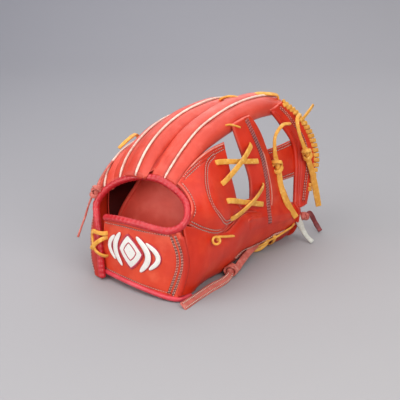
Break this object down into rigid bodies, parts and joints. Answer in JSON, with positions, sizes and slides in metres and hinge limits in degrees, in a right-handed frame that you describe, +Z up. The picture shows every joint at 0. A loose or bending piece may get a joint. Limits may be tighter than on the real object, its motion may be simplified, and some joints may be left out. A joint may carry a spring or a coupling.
{
  "type": "baseball glove",
  "caption": "Left-hand leather baseball fielder's glove with a laced open I-web, welted finger backs, bound wrist opening, padded palm and a thumb that bends in to close the pocket.",
  "frame": {"origin": "centre of the glove's box, on the ground it stands on", "axes": "+Z up; +Y from the wrist to the fingertips; +X towards the thumb side and the web, with the pocket opening towards -X"},
  "size_m": [0.1757, 0.291, 0.1678],
  "materials": {
    "shell": "smooth satin",
    "binding": "satin",
    "lace": "satin",
    "red_lace": "satin",
    "thong": "suede",
    "welt": "satin",
    "patch": "embroidered",
    "felt": "felted",
    "lining": "soft matte"
  },
  "bodies": {
    "glove": {"crotch_lace_upper": "lace", "crotch_lace_lower": "lace", "index_lace_base": "lace", "fingertip_lace": "lace", "index_tip_lace": "lace", "rim_lace": "lace", "strap_lace": "lace", "heel_loop_lace": "lace", "rim_tail_upper": "lace", "rim_tail_knot": "lace", "rim_tail": "lace", "outer_tail_upper": "lace", "outer_tail_stub": "lace", "outer_tail_knot": "lace", "outer_tail": "lace", "binding_strand": "red_lace", "binding_knot": "red_lace", "binding_tail": "red_lace", "pinky_tail": "lace", "opening_binding": "binding", "strap_binding": "binding", "heel_binding": "binding", "index_back": "shell", "index_front": "shell", "index_welt": "welt", "middle_back": "shell", "middle_front": "shell", "middle_welt": "welt", "ring_back": "shell", "ring_front": "shell", "ring_welt": "welt", "pinky_back": "shell", "pinky_front": "shell", "pinky_welt": "welt", "strap_patch": "patch", "wrist_strap": "shell", "strap_lining": "lining", "crotch_panel": "shell", "thumb_heel": "shell", "pinky_tab": "shell", "pinky_side": "shell", "palm_leather": "shell", "crotch_palm": "shell", "palm_felt": "felt", "pinky_heel_pad": "felt", "thumb_heel_pad": "felt", "palm_lining": "lining", "base_bar": "shell", "top_bar": "shell", "centre_bar": "shell"},
    "thumb": {"thumb_back": "shell", "thumb_front": "shell", "thumb_edge_lace": "lace", "thumb_edge_upper": "red_lace", "thumb_edge_knot": "red_lace", "thumb_edge_tail": "red_lace", "thumb_tip_knot": "red_lace", "thumb_tip_tail": "red_lace", "thumb_tip_thong": "thong"}
  },
  "joints": [
    {"name": "thumb_close", "type": "hinge", "parent": "glove", "child": "thumb", "pos_m": [0.04066, -0.06269, 0.025], "axis": [0, 0, 1], "range_deg": [0, 15], "stiffness_Nm_per_rad": 6}
  ]
}
